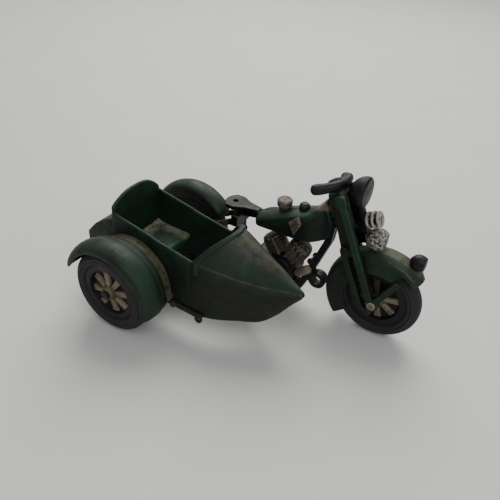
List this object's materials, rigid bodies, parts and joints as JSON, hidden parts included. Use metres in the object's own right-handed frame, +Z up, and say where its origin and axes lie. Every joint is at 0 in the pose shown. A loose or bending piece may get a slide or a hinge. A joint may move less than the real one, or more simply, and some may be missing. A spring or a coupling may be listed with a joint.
{
  "type": "toy motorcycle with sidecar",
  "caption": "Free-rolling cast-iron toy motorcycle with a wheeled sidecar; the fork steers and the spoked wheels turn, and the empty seats have peg holes for riders.",
  "frame": {"origin": "on the ground, under the middle of the whole toy's box", "axes": "+X forward, the way the front wheel points; +Y to the rider's left, away from the sidecar; +Z up"},
  "size_m": [0.2092, 0.119, 0.1059],
  "materials": {
    "green_enamel": "green enamel, worn through to tan at the edges",
    "dark_green_enamel": "dark green enamel, scuffed",
    "black_enamel": "black enamel, semi-gloss",
    "silver_paint": "silver paint, mottled and worn",
    "wheel_paint": "cream-silver paint over iron, lightly rusted",
    "bare_iron": "bare iron, oxidised",
    "seat_enamel": "green enamel worn to cream",
    "rubber": "matte aged rubber"
  },
  "bodies": {
    "chassis": {"rear_axle": "bare_iron", "sidecar_axle": "bare_iron", "rear_fender": "green_enamel", "frame_right_half": "black_enamel", "frame_left_half": "black_enamel", "frame_rivets": "bare_iron", "tank_right_half": "green_enamel", "tank_left_half": "green_enamel", "crankcase": "black_enamel", "front_cylinder": "silver_paint", "rear_cylinder": "silver_paint", "saddle": "black_enamel", "filler_cap": "silver_paint", "oil_cap": "green_enamel", "tank_side_plate": "silver_paint", "sidecar_tub": "dark_green_enamel", "sidecar_seat": "seat_enamel", "sidecar_trunk": "dark_green_enamel", "sidecar_fender": "green_enamel", "sidecar_axle_bracket": "black_enamel", "sidecar_side_rail": "dark_green_enamel", "side_rail_rivet": "bare_iron", "front_cross_arm": "black_enamel", "rear_cross_arm": "black_enamel"},
    "steering": {"fork_right_half": "green_enamel", "fork_left_half": "green_enamel", "steering_pin": "bare_iron", "fork_rivet": "bare_iron", "front_fender": "green_enamel", "handlebar": "black_enamel", "headlamp": "black_enamel", "lamp_stem": "black_enamel", "horn": "silver_paint", "fender_lamp": "silver_paint", "fender_tip_lamp": "black_enamel", "front_axle": "bare_iron"},
    "front_wheel_body": {"front_wheel": "wheel_paint", "front_tyre": "rubber"},
    "rear_wheel_body": {"rear_wheel": "wheel_paint", "rear_tyre": "rubber"},
    "sidecar_wheel_body": {"sidecar_wheel": "wheel_paint", "sidecar_tyre": "rubber"}
  },
  "joints": [
    {"name": "steering_turn", "type": "hinge", "parent": "chassis", "child": "steering", "pos_m": [0.04371, 0.042, 0.07895], "axis": [-0.4147, 0, 0.91], "range_deg": [-25, 25]},
    {"name": "front_wheel_spin", "type": "hinge", "parent": "steering", "child": "front_wheel_body", "pos_m": [0.0766, 0.042, 0.028], "axis": [0, 1, 0], "continuous": true},
    {"name": "rear_wheel_spin", "type": "hinge", "parent": "chassis", "child": "rear_wheel_body", "pos_m": [-0.068, 0.042, 0.028], "axis": [0, 1, 0], "continuous": true},
    {"name": "sidecar_wheel_spin", "type": "hinge", "parent": "chassis", "child": "sidecar_wheel_body", "pos_m": [-0.0626, -0.0508, 0.028], "axis": [0, 1, 0], "continuous": true}
  ]
}
